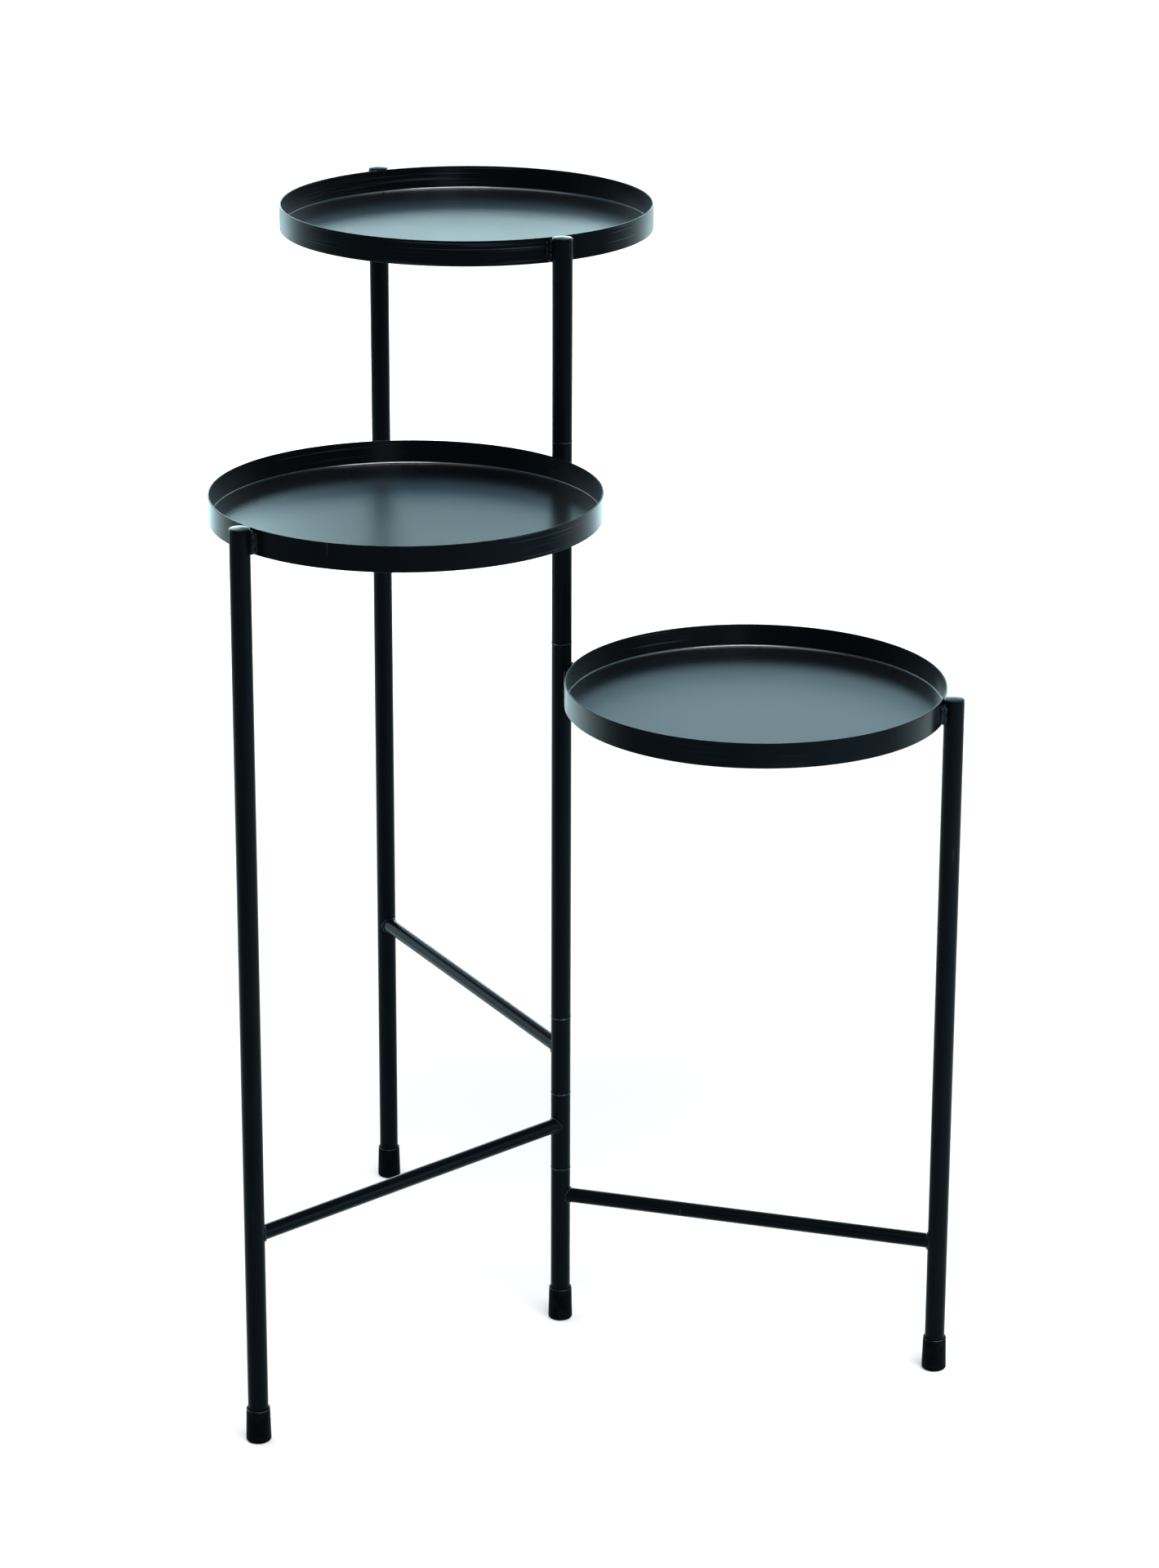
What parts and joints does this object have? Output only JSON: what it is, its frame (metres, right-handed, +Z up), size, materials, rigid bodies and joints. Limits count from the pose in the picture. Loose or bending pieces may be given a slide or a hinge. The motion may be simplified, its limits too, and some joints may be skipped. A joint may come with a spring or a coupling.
{
  "type": "folding plant stand",
  "caption": "Folding steel plant stand: round shallow trays at stepped heights on tube legs, welded wings that turn about a sleeved centre post on rubber feet.",
  "frame": {"origin": "centre of the underside of the post's foot, on the floor", "axes": "+Z up along the centre post, +X along the low wing, which stays still"},
  "size_m": [0.4716, 0.4366, 0.734],
  "materials": {
    "black_paint": "satin black powder coat",
    "zinc_steel": "black zinc plate",
    "black_rubber": "matte moulded"
  },
  "bodies": {
    "low_wing": {"low_tray_base": "black_paint", "low_tray_rim": "black_paint", "low_leg": "black_paint", "low_leg_cap": "black_paint", "low_leg_foot": "black_rubber", "low_stretcher": "black_paint", "low_upper_sleeve": "black_paint", "low_lower_sleeve": "black_paint", "low_welds": "black_paint", "pivot_tube": "zinc_steel", "post_foot": "black_rubber", "seam_washer_2": "zinc_steel", "seam_washer_5": "zinc_steel"},
    "middle_wing": {"middle_tray_base": "black_paint", "middle_tray_rim": "black_paint", "middle_leg": "black_paint", "middle_leg_cap": "black_paint", "middle_leg_foot": "black_rubber", "middle_stretcher": "black_paint", "middle_upper_sleeve": "black_paint", "middle_lower_sleeve": "black_paint", "middle_welds": "black_paint", "seam_washer_1": "zinc_steel", "seam_washer_4": "zinc_steel"},
    "top_wing": {"top_tray_base": "black_paint", "top_tray_rim": "black_paint", "top_leg": "black_paint", "top_leg_cap": "black_paint", "top_leg_foot": "black_rubber", "top_stretcher": "black_paint", "top_upper_sleeve": "black_paint", "top_lower_sleeve": "black_paint", "top_welds": "black_paint", "post_cap": "black_paint", "seam_washer_3": "zinc_steel"}
  },
  "joints": [
    {"name": "top_wing_fold", "type": "hinge", "parent": "low_wing", "child": "top_wing", "pos_m": [0, 0, 0], "axis": [0, 0, 1], "range_deg": [-131, 42]},
    {"name": "middle_wing_fold", "type": "hinge", "parent": "low_wing", "child": "middle_wing", "pos_m": [0, 0, 0], "axis": [0, 0, 1], "range_deg": [-56, 117]}
  ]
}
